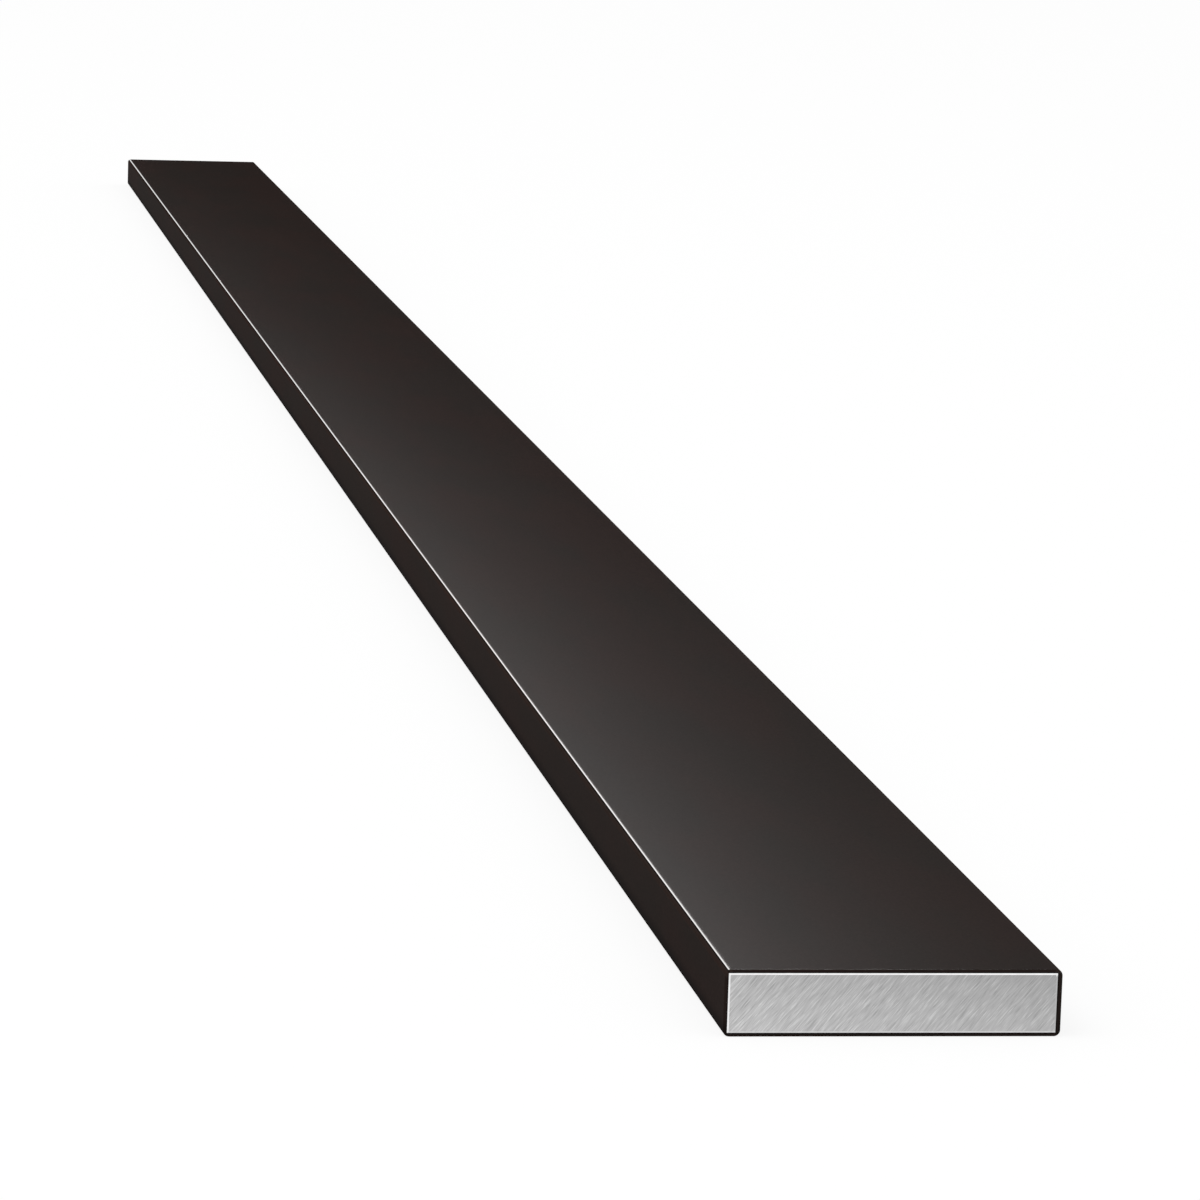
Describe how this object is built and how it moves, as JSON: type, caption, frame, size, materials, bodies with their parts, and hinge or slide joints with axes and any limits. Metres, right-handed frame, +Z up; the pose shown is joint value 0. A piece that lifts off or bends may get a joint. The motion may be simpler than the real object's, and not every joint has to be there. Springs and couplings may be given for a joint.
{
  "type": "metal flat bar",
  "caption": "Straight length of aluminium flat bar stock with a dark bronze coating, rounded long edges and bare, square-cut, deburred ends.",
  "frame": {"origin": "middle of the broad face that the bar lies on, midway between its two cut ends", "axes": "+X along the bar to the cut end that the picture shows, +Y across its width, +Z up through its thickness"},
  "size_m": [0.9144, 0.0318, 0.0063],
  "materials": {
    "coated_bar": "satin"
  },
  "bodies": {
    "root": {"flat_bar": "coated_bar"}
  },
  "joints": []
}
